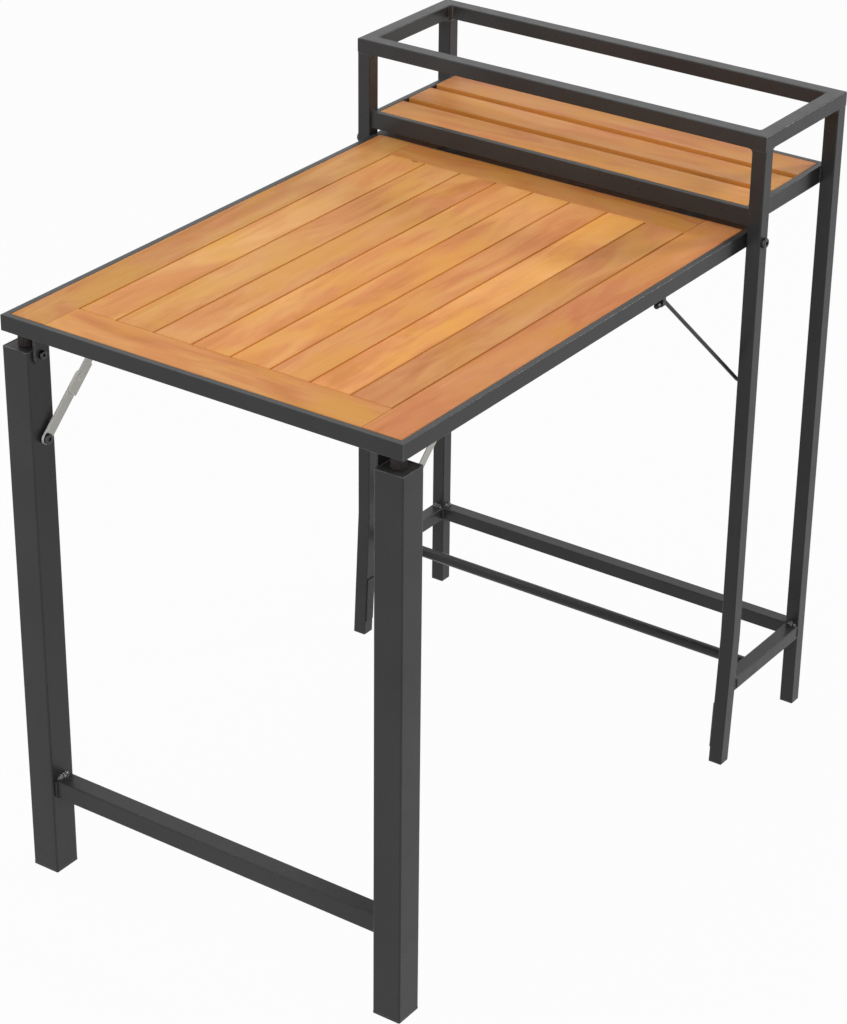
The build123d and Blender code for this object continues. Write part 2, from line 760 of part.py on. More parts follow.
for index in range(slat_count):
    low, high = slat_span(index)
    slat = board(low, high, first_seam, last_seam, wood_bottom, table_height)
    parts[f"slat_{index + 1}"] = drilled(slat, bite)
straps = []
strap_low = wood_bottom - strap_thickness
for y0, y1 in table_strap_spans():
    strap = block(-table_inner, table_inner, y0, y1, strap_low, wood_bottom)
    for x, y in table_screw_points():
        if y0 < y < y1:
            strap -= screw_shank(x, y, strap_low - 1, wood_bottom + 1)
    straps.append(strap)
parts["table_straps"] = straps
fixings = []
for x, y in table_screw_points():
    fixings.append(screw(x, y, strap_low) + screw_shank(x, y, strap_low, bite))
for x, y, thickness in bracket_screw_points():
    seat = wood_bottom - thickness
    fixings.extend(both_sides(screw(x, y, seat) + screw_shank(x, y, seat, bite)))
parts["table_screws"] = fixings
parts["leg_brackets"] = both_sides(leg_bracket())
parts["stay_lugs"] = both_sides(stay_lug())
parts["rod_lugs"] = both_sides(rod_lug())

parts["leg_right"] = leg()
parts["leg_left"] = left_of(leg())
parts["leg_cross_rail"] = cross_rail()
leg_foot = foot_cap(leg_middle, leg_centre_y, leg_size, leg_wall, 0)
parts["leg_caps"] = both_sides(leg_top_cap()) + both_sides(leg_foot)
parts["leg_buffers"] = both_sides(leg_buffer())
parts["leg_pivot_bolts"] = both_sides(pivot_bolt())
parts["stay_bolts"] = both_sides(stay_bolt())
parts["stay_upper_right"] = stay_upper()
parts["stay_upper_left"] = left_of(stay_upper())
parts["stay_lower_right"] = stay_lower()
parts["stay_lower_left"] = left_of(stay_lower())
parts["brace_rod_right"] = brace_rod()
parts["brace_rod_left"] = left_of(brace_rod())

os.makedirs("parts", exist_ok=True)
for name, shape in parts.items():
    solids = shape if isinstance(shape, list) else [shape]
    bodies = []
    for solid in solids:
        bodies.extend(solid.solids())
    export_step(bodies[0] if len(bodies) == 1 else Compound(bodies), f"parts/{name}.step")
print(len(parts), "nodes")
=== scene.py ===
"""Folding balcony table with a plant rack: materials, weld beads, floor, light and camera."""
import math
import random

import bmesh
import bpy
from mathutils import Matrix, Vector, noise as lumps


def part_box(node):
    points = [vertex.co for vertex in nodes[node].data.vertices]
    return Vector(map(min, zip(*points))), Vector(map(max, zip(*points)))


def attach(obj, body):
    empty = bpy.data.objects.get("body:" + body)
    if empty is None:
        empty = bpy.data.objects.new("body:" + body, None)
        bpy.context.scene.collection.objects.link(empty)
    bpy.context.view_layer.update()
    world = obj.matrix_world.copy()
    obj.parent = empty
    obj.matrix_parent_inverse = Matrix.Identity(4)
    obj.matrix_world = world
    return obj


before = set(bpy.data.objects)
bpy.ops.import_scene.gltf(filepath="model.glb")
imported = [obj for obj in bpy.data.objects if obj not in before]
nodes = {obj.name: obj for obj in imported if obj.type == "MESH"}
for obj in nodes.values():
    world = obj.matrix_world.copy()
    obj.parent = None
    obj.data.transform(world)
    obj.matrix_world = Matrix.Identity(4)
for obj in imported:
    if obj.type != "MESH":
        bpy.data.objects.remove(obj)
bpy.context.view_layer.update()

scene = bpy.context.scene
scene.view_settings.view_transform = "Standard"


# Rack: two bent front uprights, two straight rear ones, a mitred top ring and low
# stretchers, all of 19 mm square steel tube. The tubes are welded, ground at the
# mitres and powder-coated in one go, in a satin anthracite with a fine orange peel.
RACK_TUBES = [
    "upright_front_right", "upright_front_left", "upright_rear_right", "upright_rear_left",
    "rack_top_front", "rack_top_rear", "rack_top_right", "rack_top_left",
    "stretcher_right", "stretcher_left", "stretcher_rear", "stop_bar",
]
COAT_GREY = (0.044, 0.0443, 0.0455)
# Light added to the arrises' colour, three times the coat's grey plus this: part worn edges, part
# painted highlight.
ARRIS_HIGHLIGHT_LIFT = 0.05
ARRIS_WIDTH = 0.0012


def start_finish(name):
    """A new material: its node tree, its shader, and the place on the piece in metres."""
    made = bpy.data.materials.new(name)
    made.use_nodes = True
    tree = made.node_tree
    place = tree.nodes.new("ShaderNodeTexCoord").outputs["Object"]
    return made, tree, tree.nodes["Principled BSDF"], place


def stretched(tree, place, scale, shift=(0, 0, 0)):
    """The place with each axis scaled, so that a pattern runs along one of them."""
    step = tree.nodes.new("ShaderNodeMapping")
    step.inputs["Location"].default_value = shift
    step.inputs["Scale"].default_value = scale
    tree.links.new(place, step.inputs["Vector"])
    return step.outputs["Vector"]


def cloud(tree, place, scale, detail=3.0, rough=0.55, distortion=0.0):
    """Soft noise from 0 to 1, with so many features per metre."""
    step = tree.nodes.new("ShaderNodeTexNoise")
    step.inputs["Scale"].default_value = scale
    step.inputs["Detail"].default_value = detail
    step.inputs["Roughness"].default_value = rough
    step.inputs["Distortion"].default_value = distortion
    tree.links.new(place, step.inputs["Vector"])
    return step.outputs["Fac"]


def spread(tree, value, low, high, to_low, to_high):
    """The value brought from one range to another, and kept inside it."""
    step = tree.nodes.new("ShaderNodeMapRange")
    step.inputs["From Min"].default_value = low
    step.inputs["From Max"].default_value = high
    step.inputs["To Min"].default_value = to_low
    step.inputs["To Max"].default_value = to_high
    tree.links.new(value, step.inputs["Value"])
    return step.outputs["Result"]


def shades(tree, value, stops):
    """A run of colours picked by a value from 0 to 1."""
    step = tree.nodes.new("ShaderNodeValToRGB")
    ramp = step.color_ramp.elements
    while len(ramp) < len(stops):
        ramp.new(0.5)
    for spot, (at, colour) in zip(ramp, stops):
        spot.position = at
        spot.color = (*colour, 1)
    tree.links.new(value, step.inputs["Fac"])
    return step.outputs["Color"]


def toned(colour, level, lift=0.0):
    """A colour made darker or lighter, with a little light added."""
    return tuple(part * level + lift for part in colour)


def blended(tree, share, under, over):
    """One colour laid over another by a share from 0 to 1."""
    step = tree.nodes.new("ShaderNodeMix")
    step.data_type = "RGBA"
    tree.links.new(share, step.inputs["Factor"])
    for socket, colour in (("A", under), ("B", over)):
        target = [s for s in step.inputs if s.name == socket and s.type == "RGBA"][0]
        if isinstance(colour, tuple):
            target.default_value = (*colour, 1)
        else:
            tree.links.new(colour, target)
    return [s for s in step.outputs if s.type == "RGBA"][0]


def rounded(tree, reach):
    """A normal that turns over the sharp edges of a piece, as a worn edge does."""
    round_over = tree.nodes.new("ShaderNodeBevel")
    round_over.samples = 4
    round_over.inputs["Radius"].default_value = reach
    return round_over.outputs["Normal"]


def relief(tree, shader, height, depth, strength, edges=None):
    """Fine relief of so many metres, on the shader's normal, over rounded edges if given."""
    step = tree.nodes.new("ShaderNodeBump")
    if edges:
        tree.links.new(edges, step.inputs["Normal"])
    step.inputs["Strength"].default_value = strength
    step.inputs["Distance"].default_value = depth
    tree.links.new(height, step.inputs["Height"])
    tree.links.new(step.outputs["Normal"], shader.inputs["Normal"])


def near_edge(tree, reach):
    """1 along the sharp edges of a piece, falling to 0 a short way in."""
    flat = tree.nodes.new("ShaderNodeNewGeometry")
    agree = tree.nodes.new("ShaderNodeVectorMath")
    agree.operation = "DOT_PRODUCT"
    tree.links.new(rounded(tree, reach), agree.inputs[0])
    tree.links.new(flat.outputs["Normal"], agree.inputs[1])
    return spread(tree, agree.outputs["Value"], 0.99, 0.86, 0.0, 1.0)


def joined(tree, how, one, other):
    """Two values put together by one step of arithmetic."""
    step = tree.nodes.new("ShaderNodeMath")
    step.operation = how
    tree.links.new(one, step.inputs[0])
    tree.links.new(other, step.inputs[1])
    return step.outputs["Value"]


def powder_coat(name, grey, lift=ARRIS_HIGHLIGHT_LIFT, soften=None):
    """Satin powder coat: slow drift in the grey, orange peel, and arrises painted lighter, part
    worn edges and part painted highlight.
    """
    made, tree, shader, place = start_finish(name)
    drift = cloud(tree, place, 7.0, 3.0)
    body = shades(tree, drift, [(0.3, toned(grey, 0.86)), (0.7, toned(grey, 1.16))])
    patchy = spread(tree, cloud(tree, place, 60.0, 4.0), 0.35, 0.7, 0.25, 0.9)
    # Lighter patches along the edges: part worn edges, part a painted highlight.
    wear_and_highlight = joined(tree, "MULTIPLY", near_edge(tree, ARRIS_WIDTH), patchy)
    tree.links.new(blended(tree, wear_and_highlight, body, toned(grey, 3.0, lift)), shader.inputs["Base Color"])
    satin = spread(tree, cloud(tree, place, 38.0, 4.0), 0.3, 0.7, 0.25, 0.37)
    tree.links.new(satin, shader.inputs["Roughness"])
    shader.inputs["Specular IOR Level"].default_value = 0.26
    peel = cloud(tree, place, 420.0, 2.0)
    relief(tree, shader, peel, 0.00003, 0.18, soften and rounded(tree, soften))
    return made


def dress(names, finish):
    """Puts a finish in every material slot of the named nodes."""
    for name in names:
        for spot in nodes[name].material_slots:
            spot.material = finish


rack_coat = powder_coat("rack_coat", COAT_GREY)
dress(RACK_TUBES, rack_coat)


# Welds on the rack: where tubes meet, the bead on top was left proud and coated over, so
# it shows as a lumpy, shiny fillet of stacked ripples with painted glints. Those at the
# sides are smooth. At the top ring they are ground, which leaves a hollow in each corner and no
# seam outside.
TOP_BEAD = 0.0050
SIDE_BEAD = 0.0026
SMALL_BEAD = 0.0021
BAR_BEAD = SMALL_BEAD * 0.85
FLANK_BEAD = 0.0015
LUMPY = 1.0
SMOOTH = 0.3
RIPPLE = 0.0027
BEAD_STEP = 0.0005
BEAD_SIDES = 14
TUBE_INSET = 0.0025
RAIL_INSET = 0.001
KICK_LAP = 0.0045
BAR_RUNS = 10
RUN_OVERLAP = 1.15


def bead_run(shell, start, end, size, lump, luck):
    """A rod along a corner line, as lumpy and rippled as a weld is, with rounded ends."""
    start, end = Vector(start), Vector(end)
    along = end - start
    length = along.length
    along.normalize()
    side = along.orthogonal().normalized()
    up = along.cross(side)
    rings = max(10, int(length / BEAD_STEP))
    last = None
    phase = luck.uniform(0, 6)
    for step in range(rings + 1):
        part = step / rings
        reach = part * length
        close = min(part, 1 - part) * length
        taper = math.sqrt(max(0.02, 1 - max(0.0, 1 - close / (size * 1.1)) ** 2))
        wave = 0.24 * abs(math.sin(math.pi * reach / RIPPLE + phase))
        ripple = 0.80 + lump * (wave + luck.uniform(-0.05, 0.05))
        stray = side * luck.uniform(-1, 1) + up * luck.uniform(-1, 1)
        middle = start + along * reach + stray * size * 0.07 * lump
        ring = []
        for turn in range(BEAD_SIDES):
            angle = 2 * math.pi * turn / BEAD_SIDES
            out = side * math.cos(angle) + up * math.sin(angle)
            spot = middle + out * size
            swell = 1 + lump * (0.26 * lumps.noise(spot * 520) + 0.12 * lumps.noise(spot * 1500))
            ring.append(shell.verts.new(middle + out * size * taper * ripple * swell))
        if last:
            for turn in range(BEAD_SIDES):
                after = (turn + 1) % BEAD_SIDES
                shell.faces.new((last[turn], last[after], ring[after], ring[turn]))
        else:
            shell.faces.new(list(reversed(ring)))
        last = ring
    shell.faces.new(last)


def smooth_piece(name, shell, body, finish):
    """A smooth-shaded piece of coated steel that rides on a body."""
    bmesh.ops.recalc_face_normals(shell, faces=shell.faces)
    mesh = bpy.data.meshes.new(name)
    shell.to_mesh(mesh)
    shell.free()
    mesh.polygons.foreach_set("use_smooth", [True] * len(mesh.polygons))
    mesh.set_sharp_from_angle(angle=math.radians(40))
    mesh.materials.append(finish)
    piece = bpy.data.objects.new(name, mesh)
    scene.collection.objects.link(piece)
    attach(piece, body)


def weld(name, runs, body, finish, lump, seed):
    """One piece of all the bead runs of one kind on a body."""
    luck = random.Random(seed)
    shell = bmesh.new()
    for start, end, size in runs:
        bead_run(shell, start, end, size * luck.uniform(0.88, 1.1), lump, luck)
    smooth_piece(name, shell, body, finish)


def bead_finish():
    """Powder coat pulled thin and glossy over the bead, in near-black and grey patches with pale
    specks painted on as glints.
    """
    made, tree, shader, place = start_finish("weld_bead_coat")
    patch = cloud(tree, place, 430.0, 3.0, 0.6)
    # Noise, not the bead's shape, places near-black patches, mid grey and pale specks; the pale
    # specks are painted glints.
    hollow, slope, glint_speck = (0.018, 0.019, 0.021), (0.05, 0.052, 0.056), (0.55, 0.57, 0.59)
    colour = shades(tree, patch, [(0.40, hollow), (0.52, slope), (0.60, glint_speck)])
    tree.links.new(colour, shader.inputs["Base Color"])
    tree.links.new(spread(tree, patch, 0.35, 0.65, 0.24, 0.08), shader.inputs["Roughness"])
    shader.inputs["Specular IOR Level"].default_value = 0.6
    shader.inputs["Coat Weight"].default_value = 0.6
    shader.inputs["Coat Roughness"].default_value = 0.08
    relief(tree, shader, cloud(tree, place, 1100.0, 2.0), 0.00022, 0.8)
    return made


bead_coat = bead_finish()


def around_end_y(node, y, inset):
    """Bead lines round the end of a tube that runs along Y: top, bottom and both sides."""
    low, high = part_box(node)
    x0, x1, z0, z1 = low.x + inset, high.x - inset, low.z + inset, high.z - inset
    return [
        ((x0, y, high.z), (x1, y, high.z), TOP_BEAD),
        ((x0, y, low.z), (x1, y, low.z), SIDE_BEAD),
        ((low.x, y, z0), (low.x, y, z1), FLANK_BEAD),
        ((high.x, y, z0), (high.x, y, z1), FLANK_BEAD),
    ]


def around_end_x(node, x, inset, faces, top=TOP_BEAD, side=SIDE_BEAD):
    """Bead lines round the end of a tube that runs along X, on the named faces."""
    low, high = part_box(node)
    y0, y1, z0, z1 = low.y + inset, high.y - inset, low.z + inset, high.z - inset
    lines = {
        "top": ((x, y0, high.z), (x, y1, high.z), top),
        "bottom": ((x, y0, low.z), (x, y1, low.z), side),
        "front": ((x, low.y, z0), (x, low.y, z1), side),
        "back": ((x, high.y, z0), (x, high.y, z1), side),
    }
    return [lines[face] for face in faces]


def weld_all(prefix, runs, body, coat, seed):
    """The lumpy beads on top and the smooth ones at the sides, as two pieces."""
    tops = [run for run in runs if run[2] == TOP_BEAD]
    sides = [run for run in runs if run[2] != TOP_BEAD]
    weld(prefix + "_weld_beads", tops, body, bead_coat, LUMPY, seed)
    weld(prefix + "_side_welds", sides, body, coat, SMOOTH, seed + 1)


rack_runs = []
for hand in ("right", "left"):
    stretcher = "stretcher_" + hand
    low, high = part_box(stretcher)
    rack_runs += around_end_y(stretcher, high.y, TUBE_INSET)
    rack_runs += around_end_y(stretcher, low.y + KICK_LAP, TUBE_INSET)
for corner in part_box("stretcher_rear"):
    rack_runs += around_end_x("stretcher_rear", corner.x, TUBE_INSET, ("top", "bottom", "front"))
rail_low, rail_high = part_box("shelf_rail_rear")
rail_faces = ("top", "bottom")
for x in (rail_low.x, rail_high.x):
    for rail in ("shelf_rail_rear", "shelf_rail_front"):
        rack_runs += around_end_x(rail, x, RAIL_INSET, rail_faces, SMALL_BEAD, SMALL_BEAD)
    for y in (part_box("upright_front_right")[1].y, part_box("upright_rear_right")[0].y):
        foot, head = (x, y, rail_low.z + RAIL_INSET), (x, y, rail_high.z - RAIL_INSET)
        rack_runs.append((foot, head, SMALL_BEAD))
bar_low, bar_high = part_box("stop_bar")
bar_y, bar_z = (bar_low.y + bar_high.y) / 2, (bar_low.z + bar_high.z) / 2
bar_r = (bar_high.z - bar_low.z) / 2
for x in (bar_low.x, bar_high.x):
    for turn in range(BAR_RUNS):
        ends = [2 * math.pi * (turn + part) / BAR_RUNS for part in (0, RUN_OVERLAP)]
        here, there = ((x, bar_y + bar_r * math.cos(a), bar_z + bar_r * math.sin(a)) for a in ends)
        rack_runs.append((here, there, BAR_BEAD))
weld_all("rack", rack_runs, "rack", rack_coat, 11)

CORNER_HOLLOW = 0.0048
HOLLOW_SINK = 0.0006
HOLLOW_INSET = 0.0008
SEAM_BELOW, SEAM_ABOVE = 0.002, 0.0024
SEAM_RADIUS = 0.0013
FLUSH = 0.00003


def corner_hollow(shell, corner, first, second, run):
    """A smooth hollow fillet in the corner of two faces, along a line."""
    corner, first, second, run = (Vector(part) for part in (corner, first, second, run))
    outline = [corner - (first + second) * HOLLOW_SINK]
    middle = corner + (first + second) * CORNER_HOLLOW
    for step in range(9):
        angle = math.pi / 2 * step / 8
        bend = second * math.cos(angle) + first * math.sin(angle)
        outline.append(middle - bend * CORNER_HOLLOW)
    near = [shell.verts.new(spot) for spot in outline]
    far = [shell.verts.new(spot + run) for spot in outline]
    for here in range(len(outline)):
        after = (here + 1) % len(outline)
        shell.faces.new((near[here], near[after], far[after], far[here]))
    shell.faces.new(list(reversed(near)))
    shell.faces.new(far)


def seam_band(shell, low, high, radius):
    """A short square collar flush with the tubes' faces, over a ground seam."""
    x0, x1, y0, y1 = low.x + radius, high.x - radius, low.y + radius, high.y - radius
    outline = []
    for x, y, start in ((x1, y1, 0), (x0, y1, 90), (x0, y0, 180), (x1, y0, 270)):
        for step in range(5):
            angle = math.radians(start + 90 * step / 4)
            outline.append((x + radius * math.cos(angle), y + radius * math.sin(angle)))
    rings = [[shell.verts.new((x, y, z)) for x, y in outline] for z in (low.z, high.z)]
    for here in range(len(outline)):
        after = (here + 1) % len(outline)
        shell.faces.new((rings[0][here], rings[0][after], rings[1][after], rings[1][here]))


ring_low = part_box("rack_top_front")[0].z
ring_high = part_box("rack_top_front")[1].z
ground = bmesh.new()
for hand, side in (("right", 1), ("left", -1)):
    for end, inward in (("front", 1), ("rear", -1)):
        low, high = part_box(f"upright_{end}_{hand}")
        near_y, far_y = (corner.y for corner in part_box(f"rack_top_{end}"))
        inner_x = min(abs(low.x), abs(high.x)) * side
        inner_y = far_y if end == "front" else near_y
        under, to_x, to_y = (0, 0, -1), (-side, 0, 0), (0, inward, 0)
        spare = 2 * HOLLOW_INSET
        start = (inner_x, near_y + HOLLOW_INSET, ring_low)
        corner_hollow(ground, start, under, to_x, (0, far_y - near_y - spare, 0))
        start = (low.x + HOLLOW_INSET, inner_y, ring_low)
        corner_hollow(ground, start, under, to_y, (high.x - low.x - spare, 0, 0))
        start = (inner_x, inner_y, ring_low + HOLLOW_INSET)
        corner_hollow(ground, start, to_x, to_y, (0, 0, ring_high - ring_low - spare))
        seam_low = Vector((low.x + FLUSH, near_y + FLUSH, ring_low - SEAM_BELOW))
        seam_high = Vector((high.x - FLUSH, far_y - FLUSH, ring_low + SEAM_ABOVE))
        seam_band(ground, seam_low, seam_high, SEAM_RADIUS)
smooth_piece("rack_ground_welds", ground, "rack", rack_coat)


# Foot caps and guide pads: black plastic plugs pushed into the open tube ends, and two
# thin slide pads on the uprights' inner faces. They are injection moulded, with the
# fine spark grain of the mould and paler scuffs.
CAP_BLACK = (0.014, 0.014, 0.015)
SCUFF_GREY = (0.06, 0.06, 0.06)


def moulded_plastic(name, black):
    """Black moulded plastic with a fine grain and paler scuffs."""
    made, tree, shader, place = start_finish(name)
    scratch = cloud(tree, stretched(tree, place, (40, 40, 160)), 1.0, 5.0, 0.7)
    scuff = spread(tree, scratch, 0.55, 0.72, 0.0, 0.5)
    tree.links.new(blended(tree, scuff, black, SCUFF_GREY), shader.inputs["Base Color"])
    dull = spread(tree, cloud(tree, place, 240.0, 3.0), 0.3, 0.7, 0.44, 0.62)
    tree.links.new(dull, shader.inputs["Roughness"])
    relief(tree, shader, cloud(tree, place, 1700.0, 2.0), 0.00005, 0.7)
    return made


dress(["rack_foot_caps", "guide_pads"], moulded_plastic("cap_plastic", CAP_BLACK))


# Shelf: three hardwood slats in a frame of flat tube between the uprights, screwed from
# below to two flat straps. The slats are planed, oiled and set flush with the frame,
# each from its own board, so that every one has its own tone and figure, painted lighter
# as well, the front one most, against the shade the shelf lies in.
# How strongly the boards' edges are painted: a golden highlight, and darker seams that are part
# oil, part painted shade.
SHELF_PAINTED_ARRIS = 0.2
SHELF_SEED = 71
# Width of the painted golden highlight along the boards' edges.
RIM_HIGHLIGHT_WIDTH = 0.0042
# Width of the darker band along the boards' edges: part oil, part painted shade in the seams.
SEAM_SHADE_WIDTH = 0.0020
KNOT_OVAL = 0.55
dress(["shelf_rail_" + side for side in ("front", "rear", "right", "left")], rack_coat)
dress(["shelf_straps"], rack_coat)


def facing(tree, axis):
    """How far a face looks along an axis, either way: the square of its normal's part."""
    parts = tree.nodes.new("ShaderNodeSeparateXYZ")
    normal = tree.nodes["Texture Coordinate"].outputs["Normal"]
    tree.links.new(normal, parts.inputs["Vector"])
    return joined(tree, "MULTIPLY", parts.outputs[axis], parts.outputs[axis])


def dyed(tone, red, green, blue):
    """A tone with each of its colours scaled, and kept below white."""
    return tuple(min(1.0, part * level) for part, level in zip(tone, (red, green, blue)))


def oiled_wood(name, along, tone, seed, painted_arris, knot=None):
    """Oiled hardwood: a cloudy figure along one axis, streaks, pores; sides painted brighter, a
    painted golden highlight along the edges, and darker seams, part oil and part painted shade.
    """
    made, tree, shader, place = start_finish(name)
    luck = random.Random(seed)
    shift = tuple(luck.uniform(-40, 40) for _ in range(3))
    scales = {
        "slow": (4.2, 24, 24), "streak": (1.9, 92, 92), "fibre": (9, 330, 330),
        "pore": (48, 1000, 1000), "drift": (8, 17, 17),
    }
    if along == "y":
        scales = {key: (across, run, deep) for key, (run, across, deep) in scales.items()}
    layer = {key: stretched(tree, place, scale, shift) for key, scale in scales.items()}
    figure = cloud(tree, layer["slow"], 1.0, 4.0, 0.55, luck.uniform(0.7, 1.2))
    streak = cloud(tree, layer["streak"], 1.0, 3.0, 0.6, 0.5)
    fibre = cloud(tree, layer["fibre"], 1.0, 4.0, 0.6, 0.2)
    pore = cloud(tree, layer["pore"], 1.0, 2.0, 0.5)
    drift = cloud(tree, layer["drift"], 1.0, 3.0)
    dark = dyed(tone, 0.78, 0.64, 0.46)
    gold = dyed(tone, 1.00, 1.03, 0.58)
    rose = dyed(tone, 0.93, 0.78, 0.80)
    pale = dyed(tone, 1.10, 1.16, 1.26)
    body = shades(tree, figure, [(0.31, dark), (0.43, rose), (0.53, tone), (0.69, pale)])
    body = blended(tree, spread(tree, drift, 0.46, 0.66, 0.0, 0.75), body, gold)
    body = blended(tree, spread(tree, drift, 0.46, 0.30, 0.0, 0.65), body, rose)
    body = blended(tree, spread(tree, streak, 0.64, 0.76, 0.0, 0.55), body, dark)
    body = blended(tree, spread(tree, fibre, 0.54, 0.74, 0.0, 0.15), body, dark)
    body = blended(tree, spread(tree, fibre, 0.46, 0.26, 0.0, 0.14), body, pale)
    body = blended(tree, spread(tree, pore, 0.68, 0.76, 0.0, 0.30), body, toned(dark, 0.6))
    if knot:
        way = tree.nodes.new("ShaderNodeVectorMath")
        way.operation = "DISTANCE"
        tree.links.new(stretched(tree, place, (KNOT_OVAL, 1, 1)), way.inputs[0])
        way.inputs[1].default_value = (knot[0] * KNOT_OVAL, knot[1], knot[2])
        within = spread(tree, way.outputs["Value"], 0.0034, 0.0016, 0.0, 0.95)
        body = blended(tree, within, body, toned(dark, 0.12))
    # Faces that do not look up or down are painted brighter and golden: painted light on the
    # boards' sides.
    lit_sides = spread(tree, facing(tree, "Z"), 0.6, 0.2, 0.0, 0.85)
    body = blended(tree, lit_sides, body, dyed(tone, 1.25, 1.25, 0.72))
    # A golden band along the edges where the drift is high: a painted highlight.
    gilt_highlight = spread(tree, drift, 0.50, 0.62, 0.0, painted_arris)
    rim_highlight = joined(tree, "MULTIPLY", near_edge(tree, RIM_HIGHLIGHT_WIDTH), gilt_highlight)
    body = blended(tree, rim_highlight, body, dyed(tone, 1.12, 1.16, 0.72))
    # Edges painted darker: part oil soaked into the wood, part painted shade in the seams between
    # boards.
    seam_shade_and_oil = spread(tree, near_edge(tree, SEAM_SHADE_WIDTH), 0.2, 1.0, 0.0, painted_arris)
    body = blended(tree, seam_shade_and_oil, body, toned(dark, 0.6))
    tree.links.new(body, shader.inputs["Base Color"])
    tree.links.new(spread(tree, fibre, 0.3, 0.7, 0.40, 0.55), shader.inputs["Roughness"])
    shader.inputs["Specular IOR Level"].default_value = 0.22
    relief(tree, shader, fibre, 0.0001, 0.45)
    return made


def as_seen(red, green, blue):
    """The linear tone of a board that reads as this colour out of 255 on a lit top."""
    return tuple(((part / 255 + 0.055) / 1.055) ** 2.4 for part in (red, green, blue))


# The shelf tones are raised above the boards' own, the front one most: painted light against the
# shade the shelf lies in.
SHELF_TONES = {"front": (236, 163, 95), "middle": (218, 151, 94), "rear": (210, 145, 91)}
for order, (name, tone) in enumerate(SHELF_TONES.items()):
    wood = oiled_wood("shelf_wood_" + name, "x", as_seen(*tone), SHELF_SEED + order, SHELF_PAINTED_ARRIS)
    dress(["shelf_slat_" + name], wood)


# Tabletop: a frame of 8 x 20 mm flat tube, mitred and welded at the corners, holds a
# border of four boards, butted at the corners, round eight slats. The wood is as in the
# shelf, planed flush with the steel, and every board has its own tone and figure.
# How strongly each board's edges are painted: a golden highlight, and darker seams that are part
# oil, part painted shade.
BORDER_PAINTED_ARRIS, SLAT_PAINTED_ARRIS = 0.15, 0.8
BORDER_SEED, SLAT_SEED = 31, 51
KNOT_PLACE = (-0.1785, 0.2125, 0.745)
BORDER_TONES = {
    "front": (219, 152, 86), "rear": (213, 147, 82),
    "right": (216, 143, 86), "left": (207, 147, 83),
}
SLAT_TONES = [
    (228, 165, 96), (223, 160, 94), (223, 156, 92), (233, 165, 94),
    (233, 163, 94), (227, 156, 92), (242, 171, 99), (215, 150, 89),
]
dress(["table_rail_" + side for side in BORDER_TONES] + ["table_straps"], rack_coat)
for order, (name, tone) in enumerate(BORDER_TONES.items()):
    along = "x" if name in ("front", "rear") else "y"
    seed = BORDER_SEED + order
    wood = oiled_wood("border_wood_" + name, along, as_seen(*tone), seed, BORDER_PAINTED_ARRIS)
    dress(["frame_board_" + name], wood)
for order, tone in enumerate(SLAT_TONES):
    knot = KNOT_PLACE if order == 0 else None
    seed = SLAT_SEED + order
    wood = oiled_wood(f"slat_wood_{order + 1}", "y", as_seen(*tone), seed, SLAT_PAINTED_ARRIS, knot)
    dress([f"slat_{order + 1}"], wood)


# Wood screws under the boards: pan heads in bright zinc, driven up through the straps
# and brackets. Small turned parts with a thin plated skin.
SCREW_ZINC = (0.62, 0.62, 0.6)


def plated_steel(name, colour, rough, clouded):
    """Plated steel: a slow cloudiness in the skin and a fine unevenness."""
    made, tree, shader, place = start_finish(name)
    skin = cloud(tree, place, clouded, 4.0, 0.6)
    tint = shades(tree, skin, [(0.3, toned(colour, 0.9)), (0.7, colour)])
    tree.links.new(tint, shader.inputs["Base Color"])
    mottle = cloud(tree, place, clouded * 6, 3.0)
    polish = spread(tree, mottle, 0.3, 0.7, rough - 0.03, rough + 0.04)
    tree.links.new(polish, shader.inputs["Roughness"])
    shader.inputs["Metallic"].default_value = 1.0
    relief(tree, shader, cloud(tree, place, 900.0, 2.0), 0.00001, 0.3)
    return made


dress(["table_screws", "shelf_screws"], plated_steel("screw_zinc", SCREW_ZINC, 0.34, 160.0))


# Bolts, collars and catches: black-finished bolts that the tabletop, the legs and the
# stays swing on, a spacer collar on each hinge bolt, and the welded tabs for the rods.
BOLT_BLACK = (0.07, 0.07, 0.073)
bolt_black = plated_steel("bolt_black", BOLT_BLACK, 0.34, 220.0)
dress(["hinge_bolts", "hinge_collars", "leg_pivot_bolts", "stay_bolts"], bolt_black)
dress(["rod_catches"], rack_coat)


# Front legs: 38 mm square tube with a cross rail welded between them, coated as the
# rack is, with edges painted brighter: some worn edges, mostly a painted highlight. They
# hang on brackets under the boards by a bolt at each leg's top, which a plate closes. Plastic
# plugs close the feet.
# The legs' edges are painted much lighter than the rack's: mostly a painted highlight, some worn
# edges.
LEG_ARRIS_HIGHLIGHT_LIFT = 0.45
LEG_SOFT_EDGE = 0.0013
# Width and lift of a painted highlight along the legs' top plates.
PLATE_HIGHLIGHT_WIDTH = 0.0016
PLATE_HIGHLIGHT_LIFT = 0.12
CROSS_RAIL_INSET = 0.0022
leg_coat = powder_coat("leg_coat", toned(COAT_GREY, 1.02), LEG_ARRIS_HIGHLIGHT_LIFT, LEG_SOFT_EDGE)
dress(["leg_right", "leg_left", "leg_cross_rail"], leg_coat)
dress(["leg_brackets", "stay_lugs", "rod_lugs"], leg_coat)


